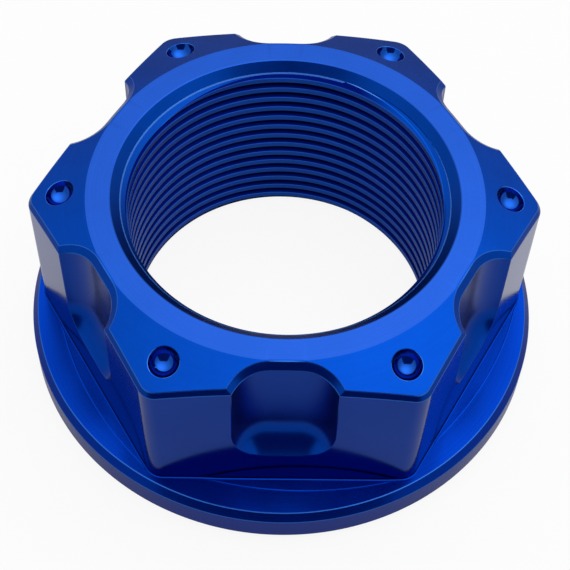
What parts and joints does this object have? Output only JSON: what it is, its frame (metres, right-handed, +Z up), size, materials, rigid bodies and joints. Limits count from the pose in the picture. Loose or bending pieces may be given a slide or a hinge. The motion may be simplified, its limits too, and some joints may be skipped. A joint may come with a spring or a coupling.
{
  "type": "steering stem nut",
  "caption": "Flanged hexagon nut with a wide fine-threaded bore, a notch in each face, a conical crown with a dimple at each corner and a flat top ring.",
  "frame": {"origin": "centre of the flange's underside, on the thread's axis", "axes": "+Z up the thread's axis, from the seat to the top ring; -Y square to one face of the hexagon, with corners on +X and -X"},
  "size_m": [0.036, 0.036, 0.015],
  "materials": {
    "anodised_aluminium": "satin, anodised blue"
  },
  "bodies": {
    "root": {"stem_nut": "anodised_aluminium"}
  },
  "joints": []
}
